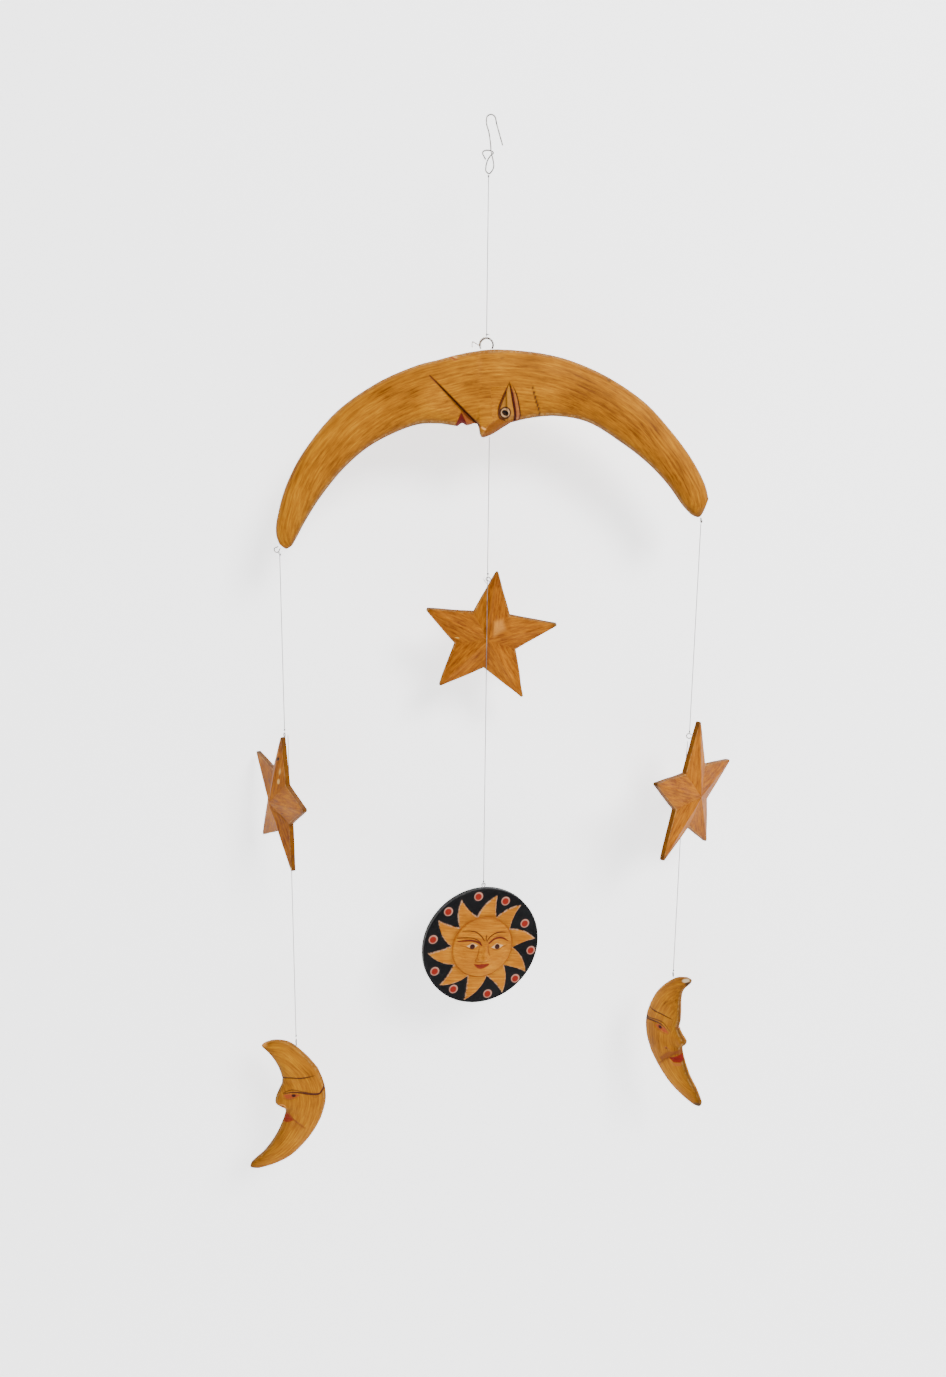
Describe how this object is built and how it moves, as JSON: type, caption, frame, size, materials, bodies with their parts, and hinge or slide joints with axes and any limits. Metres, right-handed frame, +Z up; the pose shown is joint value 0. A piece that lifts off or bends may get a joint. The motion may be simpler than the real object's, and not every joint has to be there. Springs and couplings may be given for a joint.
{
  "type": "hanging mobile",
  "caption": "Hanging mobile of painted carved wood: a crescent moon beam with a profile face carries ridged stars, a sun disc and small crescent moons on thin lines.",
  "frame": {"origin": "middle of the wire hook's crook, where the screw or pin that the mobile hangs on sits", "axes": "+Z up, -Y towards the viewer from the carved front, +X to the viewer's right"},
  "size_m": [0.3921, 0.094, 0.8128],
  "materials": {
    "ochre_paint": "ochre paint on carved wood, brushed and worn, satin",
    "black_paint": "black paint on carved wood, satin",
    "steel_wire": "dull bent steel wire",
    "nylon_line": "thin pale nylon line"
  },
  "bodies": {
    "root": {"hanging_hook": "steel_wire", "line_top": "nylon_line", "moon_ring": "steel_wire", "moon_ring_tail": "steel_wire", "crescent_moon": "ochre_paint", "tip_eye_left": "steel_wire", "tip_eye_right": "steel_wire", "line_center_upper": "nylon_line", "line_center_lower": "nylon_line", "line_left_upper": "nylon_line", "line_left_lower": "nylon_line", "line_right_upper": "nylon_line", "line_right_lower": "nylon_line", "star_center": "ochre_paint", "star_left": "ochre_paint", "star_right": "ochre_paint", "star_eye_center": "steel_wire", "star_eye_left": "steel_wire", "star_eye_right": "steel_wire", "sun_disc": "black_paint", "disc_eye": "steel_wire", "moon_left": "ochre_paint", "moon_right": "ochre_paint", "moon_eye_left": "steel_wire", "moon_eye_right": "steel_wire"}
  },
  "joints": []
}
